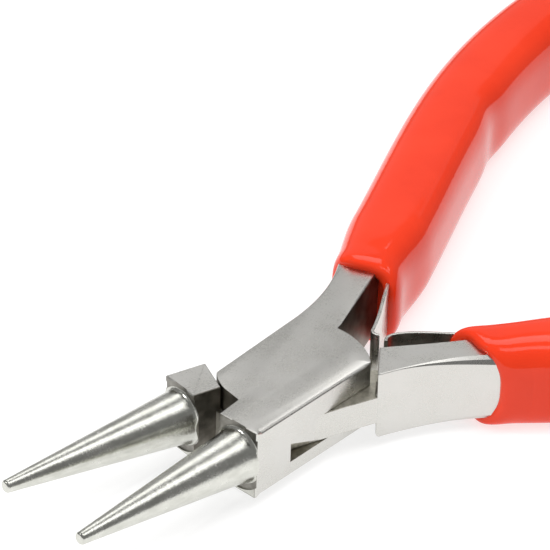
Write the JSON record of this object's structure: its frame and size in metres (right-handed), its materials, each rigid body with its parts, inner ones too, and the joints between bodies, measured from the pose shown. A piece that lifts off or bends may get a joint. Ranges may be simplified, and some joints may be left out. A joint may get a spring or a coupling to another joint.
{
  "type": "round nose pliers",
  "caption": "Small hand pliers with tapered round jaws on a box joint, leaf springs that push the handles open and dipped grips, for bending wire loops.",
  "frame": {"origin": "on the pivot axis, in the plane of the head's lower face", "axes": "+Z along the pivot axis, up through the head; +Y from the head towards the handles, halfway between them; jaws point to -Y; +X towards the handle of the half that runs through the box"},
  "size_m": [0.1012, 0.1307, 0.0118],
  "materials": {
    "steel": "satin ground steel",
    "spring_steel": "bright rolled spring steel",
    "coating": "glossy red-orange dipped vinyl"
  },
  "bodies": {
    "box_side": {"box_half": "steel", "pivot_rivet": "steel", "box_leaf_spring": "spring_steel", "box_spring_rivet": "steel", "box_grip": "coating"},
    "through_side": {"through_half": "steel", "through_leaf_spring": "spring_steel", "through_spring_rivet": "steel", "through_grip": "coating"}
  },
  "joints": [
    {"name": "pivot", "type": "hinge", "parent": "box_side", "child": "through_side", "pos_m": [0, 0, 0.0045], "axis": [0, 0, 1], "range_deg": [-8, 18.5], "stiffness_Nm_per_rad": 1.7, "deforming": ["box_leaf_spring", "through_leaf_spring"]}
  ]
}
